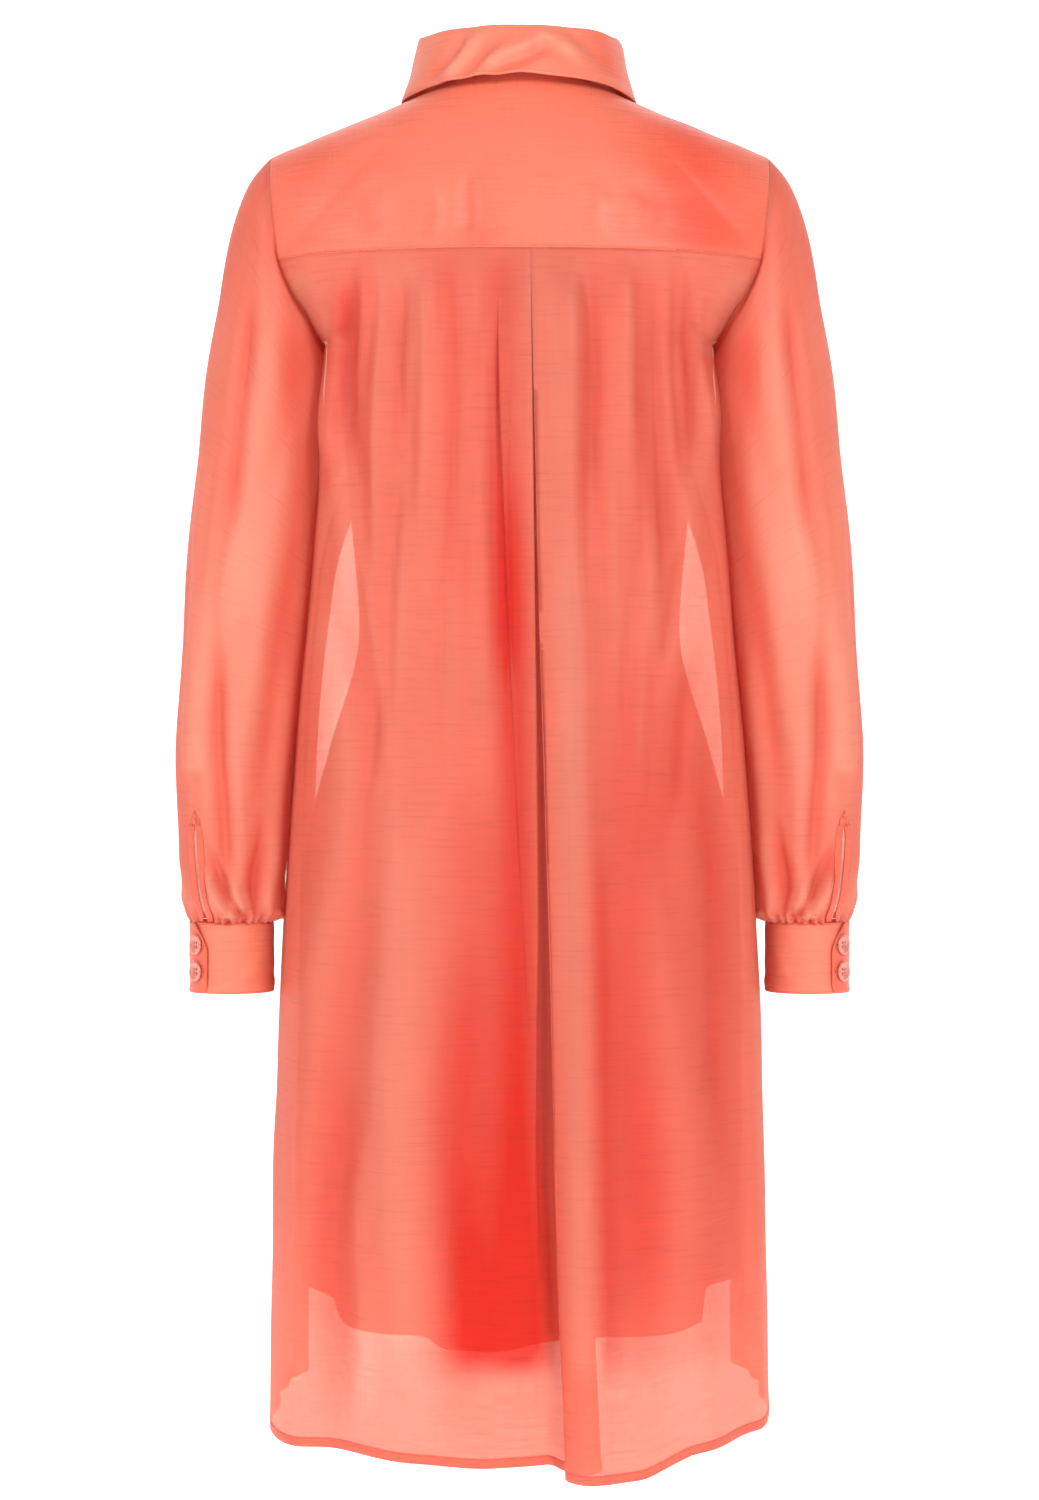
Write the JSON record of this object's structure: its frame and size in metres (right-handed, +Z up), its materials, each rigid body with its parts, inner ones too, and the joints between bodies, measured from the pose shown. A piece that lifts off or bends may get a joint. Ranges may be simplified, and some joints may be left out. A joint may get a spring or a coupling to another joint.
{
  "type": "shirt dress",
  "caption": "Sheer voile shirt dress with yoke, pleated back, collar and cuffed sleeves, hollow as worn, open at the front over its lining slip.",
  "frame": {"origin": "between the shoulders, level with the high shoulder points, where the wearer holds the dress up", "axes": "+Z up, the front faces -Y, the wearer's left is +X"},
  "size_m": [0.5224, 0.3352, 1.0614],
  "materials": {
    "voile": "sheer silky voile",
    "doubled_voile": "doubled silky voile",
    "lining": "satin lining",
    "button": "translucent pearl"
  },
  "bodies": {
    "root": {"back": "voile", "yoke": "doubled_voile", "front_left": "voile", "front_right": "voile", "band_left": "doubled_voile", "band_right": "doubled_voile", "collar_stand": "doubled_voile", "collar_fall": "doubled_voile", "sleeve_left": "voile", "sleeve_right": "voile", "slit_binding_left": "doubled_voile", "slit_binding_right": "doubled_voile", "cuff_left": "doubled_voile", "cuff_right": "doubled_voile", "button_front_1": "button", "button_front_2": "button", "button_front_3": "button", "button_front_4": "button", "button_front_5": "button", "button_front_6": "button", "button_front_7": "button", "button_front_8": "button", "button_front_9": "button", "button_stand": "button", "button_cuff_left_1": "button", "button_cuff_left_2": "button", "button_cuff_right_1": "button", "button_cuff_right_2": "button", "slip_back": "lining", "slip_front": "lining", "strap_left": "lining", "strap_right": "lining"}
  },
  "joints": []
}
